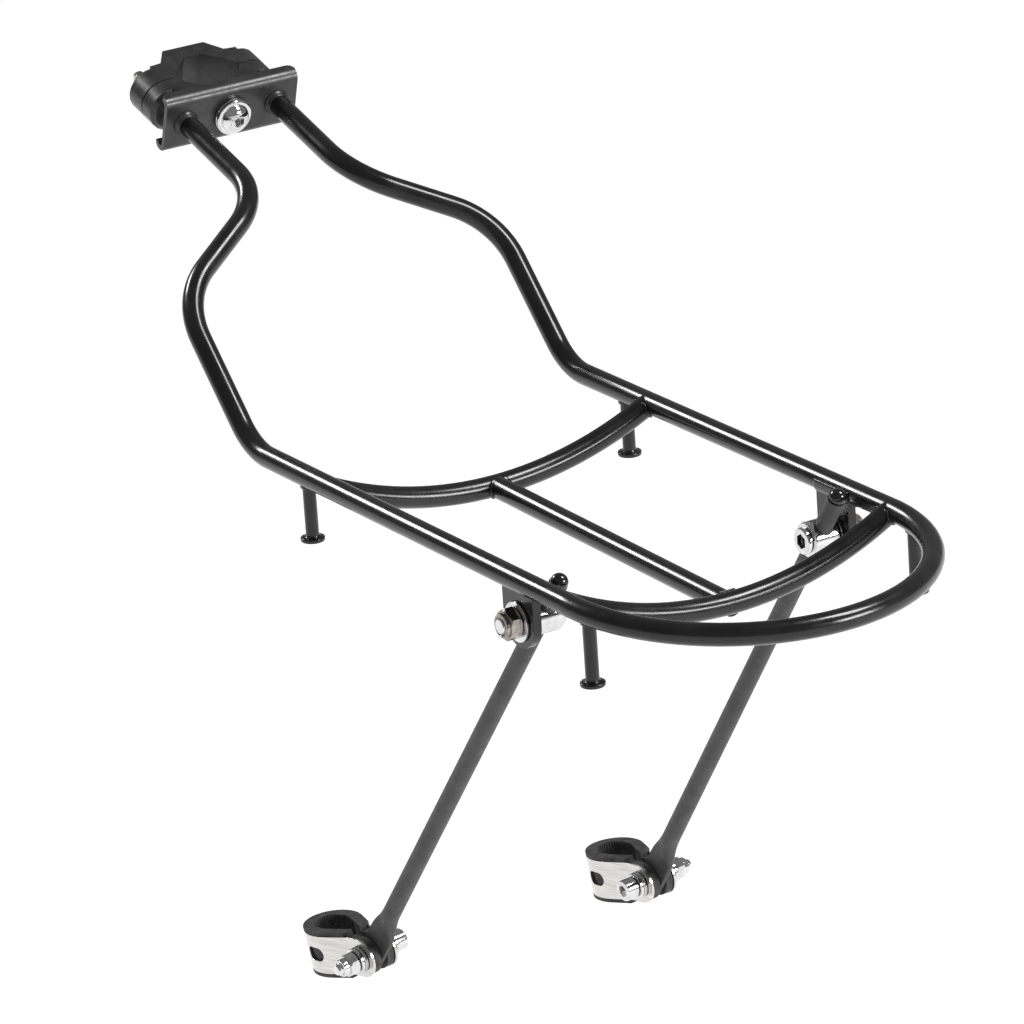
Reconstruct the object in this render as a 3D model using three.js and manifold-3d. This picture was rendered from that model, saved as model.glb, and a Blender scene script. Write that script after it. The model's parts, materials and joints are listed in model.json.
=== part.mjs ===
// A bicycle rear carrier: a bent tube platform, a seatpost clamp and two adjustable struts
// that end in rubber-lined seat stay clips.
// Millimetres. +X points to the tail, +Y to the right-hand side and +Z up.
// The origin is the centre of the seatpost clamp's bore.
import * as THREE from 'three';
import { mergeVertices } from 'three/addons/utils/BufferGeometryUtils.js';
import Module from 'manifold-3d';

const wasm = await Module();
wasm.setup();

// ---------------------------------------------------------------- sizes

const fitGap = 0.3; // between pieces that touch, and around a bolt in its hole
const sides = { left: -1, right: 1 }; // which way a side lies along Y

const tubeRadius = 5;
const railOffset = 83.7; // centre line of each rail from the middle
const railStart = 171.3; // where the rails begin
const railEnd = 431.4; // where the tail loop begins
const railHeight = -114.4;
const tailDrop = THREE.MathUtils.degToRad(2.4); // slope of the tail loop
const legOffset = 24.2; // centre line of each leg from the middle, at the bracket
const legReach = 92.3; // along the lean, to the corner where a leg turns outwards
const shoulder = { x: 115.6, z: -56.8 }; // corner where a leg turns down
const bendRadius = { leg: 36, shoulder: 40, knee: 32 };

const frontCross = { x: railStart + 67.1, sag: 19.3 };
const rearCross = { x: railEnd - 3.8, sag: 21.3 };
const centreBarDrop = 1.5; // the centre bar's rear end below the rear cross tube's middle

const peg = { radius: 3, headRadius: 5.5, headThickness: 2 };
const pegRows = {
  front: { x: frontCross.x - 19.5, reach: 29.9 },
  rear: { x: rearCross.x + 17.8, reach: 32.4 },
};

const m8 = { radius: 4, nutWidth: 13, nutHeight: 7.4 };
const m6 = { radius: 3, nutWidth: 10, nutHeight: 5, headRadius: 5, headHeight: 6 };

const seatpostLean = THREE.MathUtils.degToRad(17.43);
const clamp = {
  top: 9.4,
  bottom: -9.9,
  boreFlat: 14.5, // from the bore's centre to its flats
  boreFlatHalfWidth: 4,
  boreBend: { reach: 5.5, halfWidth: 13.5 },
  boreCorner: 17, // half width of the bore at the split
  splitGap: 0.8,
  frontFace: 23,
  faceHalfWidth: 11,
  cheekReach: 14,
  boltHeight: -1.7,
  earRadius: 11.1,
  earDepth: { front: 13.5, rear: 10 },
  earEdge: 2,
  threadBeyondNut: 5.2,
};
clamp.boltOffset = clamp.boreCorner + 2 * m6.radius;
const bracket = {
  rearFace: 24,
  sheet: 2.5,
  width: 70,
  top: 13.6, // middle of the sheet at the lip's edge
  lipRise: 1.6,
  lipBend: 3.5,
  lipReach: 6.5,
  bottom: -13.9,
  hookBend: 2.1,
  hookTip: 0.2,
};
bracket.frontFace = bracket.rearFace - bracket.sheet;

const bracketBolt = { height: -1, washerRadius: 9, washer: 1.5, headRadius: 7, headHeight: 4.4 };

const strutRadius = 4.25;
const washer = { radius: 9, thickness: 1.2 };
const tab = { inner: railOffset - 4.9, thickness: 4, radius: 12 };
const eye = { x: rearCross.x - 38.3, z: railHeight - 19.75, barrelRadius: 8, wall: 2 };
eye.outer = tab.inner - washer.thickness - 2 * fitGap;
eye.offset = eye.outer - eye.wall - strutRadius; // centre line of the strut's hole
eye.inner = eye.offset - strutRadius - eye.wall - 0.5;

// Angles in degrees. A strut splays outwards towards its clip.
const strutSettings = {
  left: { lean: 38.2, splay: 0.6, twist: 10, standUp: 22.7, length: 290.4 },
  right: { lean: 36.4, splay: 0.25, twist: 5.5, standUp: 27.1, length: 289.5 },
};
const plug = { radius: 3.9, stemRadius: 2.9, stemLength: 12 };
const foot = { halfWidth: 7.3, thickness: 3, offset: 0.9, flatEnd: 15, flareEnd: 34 };

const clip = {
  pitch: THREE.MathUtils.degToRad(7), // front down
  ringCentre: 26, // forward of the bolt
  halfLength: 15.2, // of the band's centre line
  halfWidth: 12.2,
  earStraight: 7.5,
  strap: 1.2,
  liner: 3.8,
  bandHalfHeight: 9.2,
  linerHalfHeight: 11,
  linerEnd: 9, // the liner's tall part ends this far forward of the bolt
  slotLength: 11,
  slotHeight: 6.6,
  slotForward: 1, // from the ring's centre
};
clip.earOffset = (foot.thickness + clip.strap) / 2 + clip.liner + 2 * fitGap;
const clipWasher = { radius: 6.2, thickness: 1.6 };
const clipNut = { collarRadius: 4.1, collarHeight: 3, threadBeyond: 2.2 };

// ---------------------------------------------------------------- shapes and solids

const vector = (x, y, z) => new THREE.Vector3(x, y, z);
const xAxis = vector(1, 0, 0);
const yAxis = vector(0, 1, 0);
const zAxis = vector(0, 0, 1);

function solidOf(geometry) {
  const bare = geometry.clone();
  bare.deleteAttribute('normal');
  bare.deleteAttribute('uv');
  const merged = mergeVertices(bare);
  return new wasm.Manifold(new wasm.Mesh({
    numProp: 3,
    vertProperties: new Float32Array(merged.attributes.position.array),
    triVerts: new Uint32Array(merged.index.array),
  }));
}

function geometryOf(solid) {
  const { vertProperties, triVerts } = solid.getMesh();
  const geometry = new THREE.BufferGeometry();
  geometry.setAttribute('position', new THREE.BufferAttribute(vertProperties, 3));
  geometry.setIndex(new THREE.BufferAttribute(triVerts, 1));
  geometry.computeVertexNormals();
  return geometry;
}

const join = (first, ...others) => geometryOf(
  others.reduce((solid, other) => solid.add(solidOf(other)), solidOf(first)));

const cut = (first, ...tools) => geometryOf(
  tools.reduce((solid, tool) => solid.subtract(solidOf(tool)), solidOf(first)));

const keepInside = (first, second) => geometryOf(solidOf(first).intersect(solidOf(second)));

// A circle of flat facets. A hole's facets stay outside its radius.
function circle(radius, facets = 16, isHole = false) {
  const reach = isHole ? radius / Math.cos(Math.PI / facets) : radius;
  const corner = (_, index) => {
    const angle = (index / facets) * 2 * Math.PI;
    return new THREE.Vector2(reach * Math.cos(angle), reach * Math.sin(angle));
  };
  return Array.from({ length: facets }, corner);
}

const hexagon = (width) => circle(width / 2, 6, true);
const nutCornerShare = 0.58; // of a nut's width, from its axis to its corners

// An outline of [x, y] points or vectors, extruded along +Z from the plane z = from to z = to.
function prism(outline, from, to) {
  const points = outline.map((point) => (Array.isArray(point) ? new THREE.Vector2(...point) : point));
  const shape = new THREE.Shape(points);
  const geometry = new THREE.ExtrudeGeometry(shape, { depth: to - from, bevelEnabled: false });
  return geometry.translate(0, 0, from);
}

// Turns a shape that is built along +Z so that it runs along another axis.
function alongAxis(geometry, axis) {
  const turn = new THREE.Quaternion().setFromUnitVectors(zAxis, axis);
  return geometry.applyQuaternion(turn);
}

// A round body along +Z from a profile of [radius, z] points, which starts and ends on the axis.
function turned(profile, facets = 16) {
  const points = profile.map(([radius, z]) => new THREE.Vector2(radius, z));
  return new THREE.LatheGeometry(points, facets).rotateX(Math.PI / 2);
}

const holeAlong = (axis, radius, from, to, facets = 16) => (
  alongAxis(prism(circle(radius + fitGap, facets, true), from, to), axis));

function ring(radius, holeRadius, from, to) {
  return cut(prism(circle(radius, 24), from, to), holeAlong(zAxis, holeRadius, from - 1, to + 1));
}

// A path that steps only from point to point, so straight stretches take one step.
class BentPath extends THREE.Curve {
  constructor(points) {
    super();
    this.points = points;
  }

  getPoint(t, target = vector()) {
    const place = t * (this.points.length - 1);
    const index = Math.min(Math.floor(place), this.points.length - 2);
    return target.lerpVectors(this.points[index], this.points[index + 1], place - index);
  }

  getPointAt(t, target) {
    return this.getPoint(t, target);
  }

  getTangentAt(t, target = vector()) {
    const index = Math.round(t * (this.points.length - 1));
    const before = this.points[Math.max(index - 1, 0)];
    const here = this.points[index];
    const after = this.points[Math.min(index + 1, this.points.length - 1)];
    const arriving = here.clone().sub(before).normalize();
    const leaving = after.clone().sub(here).normalize();
    return target.copy(arriving).add(leaving).normalize();
  }

  getSpacedPoints() {
    return this.points;
  }
}

function tubeAlong(points, radius, facets = 16) {
  return new THREE.ExtrudeGeometry(new THREE.Shape(circle(radius, facets)), {
    steps: points.length - 1,
    bevelEnabled: false,
    extrudePath: new BentPath(points),
  });
}

// Straight stretches joined by round bends. Each corner is a point and its bend's radius.
function roundedPath(corners, bendSteps = 8) {
  const bend = ([corner, radius], index) => {
    if (!radius) return [corner];
    const back = corners[index - 1][0].clone().sub(corner).normalize();
    const onward = corners[index + 1][0].clone().sub(corner).normalize();
    const halfAngle = back.angleTo(onward) / 2;
    const middle = back.clone().add(onward).normalize();
    const centre = middle.multiplyScalar(radius / Math.sin(halfAngle)).add(corner);
    const reach = radius / Math.tan(halfAngle);
    const first = back.multiplyScalar(reach).add(corner).sub(centre);
    const last = onward.multiplyScalar(reach).add(corner).sub(centre);
    const sweep = first.angleTo(last);
    return Array.from({ length: bendSteps + 1 }, (_, step) => {
      const share = step / bendSteps;
      const fromFirst = Math.sin((1 - share) * sweep) / Math.sin(sweep);
      const fromLast = Math.sin(share * sweep) / Math.sin(sweep);
      return centre.clone().addScaledVector(first, fromFirst).addScaledVector(last, fromLast);
    });
  };
  return corners.flatMap(bend);
}

// The outline of a bent sheet that follows a line, between two offsets to the line's left.
function sheetOutline(line, right, left) {
  const path = new BentPath(line);
  const edge = (offset) => line.map((point, index) => {
    const along = path.getTangentAt(index / (line.length - 1));
    return new THREE.Vector2(point.x - along.y * offset, point.y + along.x * offset);
  });
  return [...edge(right), ...edge(left).reverse()];
}

// A plate's outline with a round lower end about the origin and straight sides up to reach.
function roundEnded(radius, reach) {
  const outline = new THREE.Shape();
  outline.moveTo(radius, reach);
  outline.lineTo(-radius, reach);
  outline.absarc(0, 0, radius, Math.PI, 2 * Math.PI);
  return outline.getPoints(8);
}

// A slot's outline, with round ends along X.
function stadium(length, height) {
  const radius = height / 2;
  const outline = new THREE.Shape();
  outline.absarc(length / 2 - radius, 0, radius, -Math.PI / 2, Math.PI / 2);
  outline.absarc(radius - length / 2, 0, radius, Math.PI / 2, 1.5 * Math.PI);
  return outline.getPoints(6);
}

// A plate that stands in the X-Z plane, between two places along Y.
function uprightPlate(outline, from, to) {
  return prism(outline, -to, -from).rotateX(Math.PI / 2);
}

// ---------------------------------------------------------------- finishes

const finish = (color, roughness, metalness) => (
  new THREE.MeshStandardMaterial({ color, roughness, metalness }));

const finishes = {
  glossBlack: finish(0x0b0b0d, 0.18, 0.1),
  satinBlack: finish(0x1c1c1e, 0.45, 0.1),
  castBlack: finish(0x2a2a2c, 0.55, 0.1),
  strutGrey: finish(0x3a3a3b, 0.6, 0.2),
  chrome: finish(0xdfe0e2, 0.08, 1),
  stainless: finish(0xc9c6c2, 0.25, 1),
  rubber: finish(0x1a1a1a, 0.9, 0),
};

function piece(name, geometry, material) {
  const mesh = new THREE.Mesh(geometry, material);
  mesh.name = name;
  return mesh;
}

// ---------------------------------------------------------------- welded frame

function tailLoop() {
  const steps = 24;
  return Array.from({ length: steps - 1 }, (_, index) => {
    const angle = ((index + 1) / steps - 0.5) * Math.PI;
    const reach = railOffset * Math.cos(angle);
    const x = railEnd + reach * Math.cos(tailDrop);
    return vector(x, railOffset * Math.sin(angle), railHeight - reach * Math.sin(tailDrop));
  });
}

function mainTubePath() {
  const lean = vector(Math.cos(seatpostLean), 0, -Math.sin(seatpostLean));
  const side = (direction) => [
    [lean.clone().multiplyScalar(bracket.rearFace + fitGap).setY(direction * legOffset), 0],
    [lean.clone().multiplyScalar(legReach).setY(direction * legOffset), bendRadius.leg],
    [vector(shoulder.x, direction * railOffset, shoulder.z), bendRadius.shoulder],
    [vector(railStart, direction * railOffset, railHeight), bendRadius.knee],
    [vector(railEnd, direction * railOffset, railHeight), 0],
  ];
  const loop = tailLoop().map((point) => [point, 0]);
  return roundedPath([...side(sides.left), ...loop, ...side(sides.right).reverse()]);
}

const mainTube = tubeAlong(mainTubePath(), tubeRadius);
const aroundMainTube = tubeAlong(mainTubePath(), tubeRadius + 1.5 * fitGap);

function crossTubePath({ x, sag }) {
  const steps = 16;
  const radius = (railOffset ** 2 + sag ** 2) / (2 * sag);
  const halfSweep = Math.asin(railOffset / radius);
  return Array.from({ length: steps + 1 }, (_, index) => {
    const angle = halfSweep * (2 * index / steps - 1);
    const z = railHeight - sag + radius * (1 - Math.cos(angle));
    return vector(x, radius * Math.sin(angle), z);
  });
}

const crossTube = (cross) => cut(tubeAlong(crossTubePath(cross), tubeRadius), aroundMainTube);

function centreBar() {
  const front = vector(frontCross.x, 0, railHeight - frontCross.sag);
  const rear = vector(rearCross.x, 0, railHeight - rearCross.sag - centreBarDrop);
  const around = (cross) => tubeAlong(crossTubePath(cross), tubeRadius + 1.5 * fitGap);
  return cut(tubeAlong([front, rear], tubeRadius), around(frontCross), around(rearCross));
}

// A headed peg under the rail. The rail's own line gives its place on the tail loop.
function railPeg({ x, reach }, direction) {
  const beyond = Math.max(x - railEnd, 0);
  const y = direction * Math.sqrt(railOffset ** 2 - beyond ** 2);
  const bottom = railHeight - reach;
  const headTop = bottom + peg.headThickness;
  const shape = turned([
    [0, bottom], [peg.headRadius - 0.5, bottom], [peg.headRadius, bottom + 0.5],
    [peg.headRadius, headTop - 0.5], [peg.radius + 0.8, headTop], [peg.radius, headTop + 0.8],
    [peg.radius, railHeight], [0, railHeight],
  ], 12);
  return cut(shape.translate(x, y, 0), aroundMainTube);
}

// The plate under a rail that the eyebolt passes through.
function strutTab(direction) {
  const middle = direction * (tab.inner + tab.thickness / 2);
  const outline = roundEnded(tab.radius, railHeight - eye.z);
  const plate = uprightPlate(outline, middle - tab.thickness / 2, middle + tab.thickness / 2);
  const drilled = cut(plate, holeAlong(yAxis, m8.radius, middle - 5, middle + 5));
  return cut(drilled.translate(eye.x, 0, eye.z), aroundMainTube);
}

function weldedFrame() {
  const frame = new THREE.Group();
  frame.add(
    piece('main_tube', mainTube, finishes.glossBlack),
    piece('front_cross_tube', crossTube(frontCross), finishes.glossBlack),
    piece('rear_cross_tube', crossTube(rearCross), finishes.glossBlack),
    piece('centre_bar', centreBar(), finishes.glossBlack),
  );
  for (const [side, direction] of Object.entries(sides)) {
    for (const [row, place] of Object.entries(pegRows)) {
      frame.add(piece(`peg_${row}_${side}`, railPeg(place, direction), finishes.glossBlack));
    }
    frame.add(piece(`strut_tab_${side}`, strutTab(direction), finishes.glossBlack));
  }
  return frame;
}

// ---------------------------------------------------------------- seatpost clamp
// Built upright around the seatpost: X is the lean direction to the rear and Z the seatpost's axis.

// Adds the mirror image of a line of [x, y] points across the X axis.
const mirrored = (points) => [...points, ...points.map(([x, y]) => [x, -y]).reverse()];

// One cast half on the +X side of the split, with its flat face at faceReach.
function clampHalf(faceReach, earDepth) {
  const { top, bottom, boreFlat, boreBend, boreCorner, boltOffset, earRadius, earEdge } = clamp;
  const split = clamp.splitGap / 2;
  const body = prism(mirrored([
    [faceReach, clamp.faceHalfWidth], [clamp.cheekReach, boreCorner],
    [earDepth, boltOffset - earEdge], [earDepth, boltOffset], [split, boltOffset],
  ]), bottom, top);
  const ear = alongAxis(turned([
    [0, split], [earRadius, split], [earRadius, earDepth - earEdge],
    [earRadius - earEdge, earDepth], [0, earDepth],
  ], 20), xAxis);
  const bore = prism(mirrored([
    [split - 1, boreCorner], [split, boreCorner], [boreBend.reach, boreBend.halfWidth],
    [boreFlat, clamp.boreFlatHalfWidth],
  ]), bottom - earRadius, top + earRadius);
  const place = (geometry, direction) => (
    geometry.clone().translate(0, direction * boltOffset, clamp.boltHeight));
  const boltHole = holeAlong(xAxis, m6.radius, -1, earDepth + 1);
  const spotFace = holeAlong(xAxis, m6.nutWidth * nutCornerShare, earDepth, faceReach + 1);
  const tools = [boltHole, spotFace].flatMap((tool) => Object.values(sides).map(
    (direction) => place(tool, direction)));
  return cut(join(body, place(ear, sides.left), place(ear, sides.right)), bore, ...tools);
}

function clampBolt() {
  const seat = clamp.earDepth.rear + fitGap;
  const end = -(clamp.earDepth.front + fitGap + m6.nutHeight + clamp.threadBeyondNut);
  return alongAxis(cut(
    turned([
      [0, end], [m6.radius - 0.6, end], [m6.radius, end + 0.6], [m6.radius, seat],
      [m6.headRadius, seat], [m6.headRadius, seat + m6.headHeight - 0.6],
      [m6.headRadius - 0.6, seat + m6.headHeight], [0, seat + m6.headHeight],
    ], 12),
    prism(hexagon(5), seat + m6.headHeight / 2, seat + m6.headHeight + 1),
  ), xAxis);
}

// A hexagonal nut with chamfered corners, still without its hole.
function nutBody(width, height) {
  const corner = width * nutCornerShare;
  return keepInside(
    prism(hexagon(width), 0, height),
    turned([
      [0, 0], [width / 2, 0], [corner, 1], [corner, height - 1.2], [width / 2, height], [0, height],
    ], 24),
  );
}

function nut(width, height, holeRadius) {
  return cut(nutBody(width, height), holeAlong(zAxis, holeRadius, -1, height + 1, 12));
}

// The line through the plate's thickness: rolled top lip, upright web and hooked bottom flange.
function bracketOutline() {
  const web = bracket.rearFace - bracket.sheet / 2;
  const reach = bracket.rearFace - bracket.lipReach;
  const low = bracket.bottom + bracket.sheet / 2;
  const bend = bracket.hookBend;
  return sheetOutline(roundedPath([
    [vector(reach, bracket.top, 0), 0],
    [vector(web, bracket.top - bracket.lipRise, 0), bracket.lipBend],
    [vector(web, low, 0), bend],
    [vector(reach, low, 0), bend],
    [vector(reach, low + bend + bracket.hookTip, 0), 0],
  ], 5), -bracket.sheet / 2, bracket.sheet / 2);
}

function bracketPlate() {
  const half = bracket.width / 2;
  const plate = prism(bracketOutline(), -half, half).rotateX(Math.PI / 2);
  const hole = holeAlong(xAxis, m8.radius, bracket.frontFace - 2, bracket.rearFace + 2);
  return cut(plate, hole.translate(0, 0, bracketBolt.height));
}

function bracketBoltShape() {
  const { washerRadius, washer: thickness, headRadius, headHeight } = bracketBolt;
  const tip = clamp.boreFlat + 1;
  const seat = bracket.rearFace + thickness + 2 * fitGap;
  const crown = seat + thickness;
  const dome = [0.35, 0.65, 0.85, 0.97].map((share) => (
    [headRadius * Math.sqrt(1 - share ** 2), crown + headHeight * share]));
  const body = turned([
    [0, tip], [m8.radius, tip], [m8.radius, seat], [washerRadius, seat],
    [washerRadius, crown - 0.4], [washerRadius - 0.6, crown], [headRadius, crown],
    ...dome, [0, crown + headHeight],
  ], 24);
  return alongAxis(cut(body, prism(hexagon(5), crown + 1, crown + headHeight + 1)), xAxis);
}

function seatpostClamp() {
  const group = new THREE.Group();
  group.rotation.y = seatpostLean;
  const rearFace = bracket.frontFace - fitGap;
  const boltHole = holeAlong(xAxis, m8.radius, clamp.boreFlat - 1, rearFace + 1);
  const rearHalf = cut(
    clampHalf(rearFace, clamp.earDepth.rear),
    boltHole.translate(0, 0, bracketBolt.height),
  );
  const frontHalf = clampHalf(clamp.frontFace, clamp.earDepth.front).rotateZ(Math.PI);
  const bolt = bracketBoltShape().translate(0, 0, bracketBolt.height);
  const spacer = ring(bracketBolt.washerRadius, m8.radius, 0, bracketBolt.washer);
  const spacerPlace = bracket.rearFace + fitGap;
  alongAxis(spacer, xAxis).translate(spacerPlace, 0, bracketBolt.height);
  group.add(
    piece('clamp_rear_half', rearHalf, finishes.castBlack),
    piece('clamp_front_half', frontHalf, finishes.castBlack),
    piece('bracket_plate', bracketPlate(), finishes.satinBlack),
    piece('bracket_bolt', bolt, finishes.chrome),
    piece('bracket_washer', spacer, finishes.chrome),
  );
  for (const [side, direction] of Object.entries(sides)) {
    const bolt6 = piece(`clamp_bolt_${side}`, clampBolt(), finishes.chrome);
    bolt6.position.set(0, direction * clamp.boltOffset, clamp.boltHeight);
    const nutShape = alongAxis(nut(m6.nutWidth, m6.nutHeight, m6.radius), xAxis);
    const nut6 = piece(`clamp_nut_${side}`, nutShape, finishes.chrome);
    nut6.position.copy(bolt6.position).setX(-clamp.earDepth.front - fitGap - m6.nutHeight);
    group.add(bolt6, nut6);
  }
  return group;
}

// ---------------------------------------------------------------- strut eyebolts
// Built along +Z from the middle of the carrier outwards, then turned to face left or right.

function eyeboltStack(side, direction) {
  const outward = vector(0, direction, 0);
  const outerSeat = tab.inner + tab.thickness + fitGap;
  const nutSeat = outerSeat + washer.thickness + fitGap;
  const threadEnd = nutSeat + m8.nutHeight + 0.6;
  const headOuter = eye.inner - fitGap;
  const headInner = headOuter - 2.2;
  const screwTip = eye.offset - strutRadius - fitGap;
  const innerSeat = eye.outer + fitGap;
  const barrel = turned([
    [0, eye.inner], [eye.barrelRadius - 0.8, eye.inner], [eye.barrelRadius, eye.inner + 0.8],
    [eye.barrelRadius, eye.outer - 0.4], [eye.barrelRadius - 0.4, eye.outer],
    [m8.radius, eye.outer], [m8.radius, threadEnd - 0.6], [m8.radius - 0.6, threadEnd], [0, threadEnd],
  ], 24);
  const { degToRad } = THREE.MathUtils;
  const settings = strutSettings[side];
  const strutHole = holeAlong(zAxis, strutRadius, -20, 20);
  strutHole.rotateY(degToRad(settings.lean)).rotateX(direction * degToRad(settings.splay));
  strutHole.translate(0, direction * eye.offset, 0);
  const screwHole = holeAlong(zAxis, m6.radius, eye.inner - 1, eye.offset);
  const eyebolt = cut(alongAxis(cut(barrel, screwHole), outward), strutHole);
  const screw = cut(
    turned([
      [0, headInner], [5.6, headInner], [6, headInner + 0.4], [6, headOuter],
      [m6.radius, headOuter], [m6.radius, screwTip], [0, screwTip],
    ], 16),
    prism(hexagon(6), headInner - 1, headOuter - 0.2),
  );
  const innerWasher = ring(washer.radius, m8.radius, innerSeat, innerSeat + washer.thickness);
  const outerWasher = ring(washer.radius, m8.radius, outerSeat, outerSeat + washer.thickness);
  const lockNut = nut(m8.nutWidth, m8.nutHeight, m8.radius).translate(0, 0, nutSeat);
  const group = new THREE.Group();
  group.position.set(eye.x, 0, eye.z);
  group.add(
    piece(`eyebolt_${side}`, eyebolt, finishes.chrome),
    piece(`lock_screw_${side}`, alongAxis(screw, outward), finishes.chrome),
    piece(`inner_washer_${side}`, alongAxis(innerWasher, outward), finishes.chrome),
    piece(`outer_washer_${side}`, alongAxis(outerWasher, outward), finishes.chrome),
    piece(`lock_nut_${side}`, alongAxis(lockNut, outward), finishes.chrome),
  );
  return group;
}

// ---------------------------------------------------------------- struts
// Built along +Z with the eyebolt's centre at the origin. Y is the clip bolt's direction.

function smooth(share) {
  const t = THREE.MathUtils.clamp(share, 0, 1);
  return t * t * (3 - 2 * t);
}

// Presses the tube's lower end flat, with its flat part set off to one side.
function flattenFoot(geometry, boltHeight) {
  const position = geometry.attributes.position;
  for (let index = 0; index < position.count; index += 1) {
    const height = position.getZ(index) - boltHeight;
    const flat = smooth((foot.flareEnd - height) / (foot.flareEnd - foot.flatEnd));
    const x = position.getX(index);
    const y = position.getY(index);
    const width = THREE.MathUtils.lerp(1, foot.halfWidth / strutRadius, flat);
    const pressed = THREE.MathUtils.clamp(y / (0.5 * strutRadius), -1, 1) * foot.thickness / 2;
    position.setX(index, x * width);
    position.setY(index, THREE.MathUtils.lerp(y, pressed + foot.offset, flat));
  }
  return geometry;
}

// The top bore takes the plug's stem.
function strutTube({ standUp, length }) {
  const boltHeight = standUp - length;
  const flare = Array.from({ length: 9 }, (_, index) => (
    boltHeight + THREE.MathUtils.lerp(foot.flatEnd, foot.flareEnd, index / 8)));
  const heights = [boltHeight - foot.halfWidth, ...flare, standUp];
  const pressed = flattenFoot(tubeAlong(heights.map((z) => vector(0, 0, z)), strutRadius), boltHeight);
  const roundFoot = uprightPlate(roundEnded(foot.halfWidth, length), -20, 20).translate(0, 0, boltHeight);
  const boltHole = holeAlong(yAxis, m6.radius, -20, 20, 12).translate(0, 0, boltHeight);
  const stemBore = holeAlong(zAxis, plug.stemRadius, standUp - plug.stemLength - fitGap, standUp + 1, 12);
  return cut(keepInside(pressed, roundFoot), boltHole, stemBore);
}

// A ball-shaped plug that closes the tube's top end.
function strutPlug({ standUp }) {
  const base = standUp + fitGap;
  const dome = [0, 0.3, 0.6, 0.85].map((share) => (
    [plug.radius * Math.sqrt(1 - share ** 2), base + plug.radius * share]));
  return turned([
    [0, standUp - plug.stemLength], [plug.stemRadius, standUp - plug.stemLength],
    [plug.stemRadius, base], ...dome, [0, base + plug.radius],
  ], 12);
}

// ---------------------------------------------------------------- seat stay clips
// Built around the clip bolt: Y is the bolt, Z is upright and the ring lies towards -X.

// The line through the strap: ear, straight side, oval ring, straight side, ear.
function clipLine() {
  const { ringCentre, halfLength, halfWidth, earOffset, earStraight } = clip;
  const earEnd = clip.linerHalfHeight + 1; // beyond the ears' round ends
  const reach = (ringCentre - earStraight) / halfLength;
  const rise = earOffset / halfWidth;
  const touch = Math.atan2(rise, reach) + Math.acos(1 / Math.hypot(reach, rise));
  const steps = 22;
  const oval = Array.from({ length: steps + 1 }, (_, index) => {
    const angle = THREE.MathUtils.lerp(touch, 2 * Math.PI - touch, index / steps);
    return [vector(halfLength * Math.cos(angle) - ringCentre, halfWidth * Math.sin(angle), 0), 0];
  });
  return roundedPath([
    [vector(earEnd, earOffset, 0), 0],
    [vector(-earStraight, earOffset, 0), 8],
    ...oval,
    [vector(-earStraight, -earOffset, 0), 8],
    [vector(earEnd, -earOffset, 0), 0],
  ], 4);
}

// A strip that follows the clip's line, between two offsets towards its middle.
function clipStrip(outer, inner, halfHeight) {
  const strip = prism(sheetOutline(clipLine(), outer, inner), -halfHeight, halfHeight);
  const length = clip.ringCentre + clip.halfLength + 2 * clip.strap;
  const ends = uprightPlate(roundEnded(halfHeight, length), -30, 30).rotateY(-Math.PI / 2);
  const boltHole = holeAlong(yAxis, m6.radius, -30, 30, 12);
  return cut(keepInside(strip, ends), boltHole);
}

function clipBand() {
  const half = clip.strap / 2;
  const slot = prism(stadium(clip.slotLength, clip.slotHeight), -30, 30).rotateX(Math.PI / 2);
  slot.translate(-clip.ringCentre - clip.slotForward, 0, 0);
  return cut(clipStrip(-half, half, clip.bandHalfHeight), slot);
}

// The liner is taller than the band round the ring, where its rims cover the band's edges.
// It is lower than the band where it lines the ears.
function clipLiner() {
  const outer = clip.strap / 2 + fitGap;
  const inner = outer + clip.liner;
  const size = 4 * clip.ringCentre;
  const beyond = new THREE.BoxGeometry(size, size, size).translate(size / 2 - clip.linerEnd, 0, 0);
  const bandSlot = new THREE.BoxGeometry(size, size, 2 * (clip.bandHalfHeight + fitGap));
  const rims = cut(clipStrip(-clip.strap / 2, outer + 1, clip.linerHalfHeight), bandSlot, beyond);
  const tall = cut(clipStrip(outer, inner, clip.linerHalfHeight), beyond);
  return join(tall, rims, clipStrip(outer, inner, clip.bandHalfHeight - 2 * fitGap));
}

function collaredNut() {
  const end = m6.nutHeight + clipNut.collarHeight;
  const collar = prism(circle(clipNut.collarRadius), m6.nutHeight - 1, end);
  return cut(join(nutBody(m6.nutWidth, m6.nutHeight), collar), holeAlong(zAxis, m6.radius, -1, end + 1, 12));
}

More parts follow.
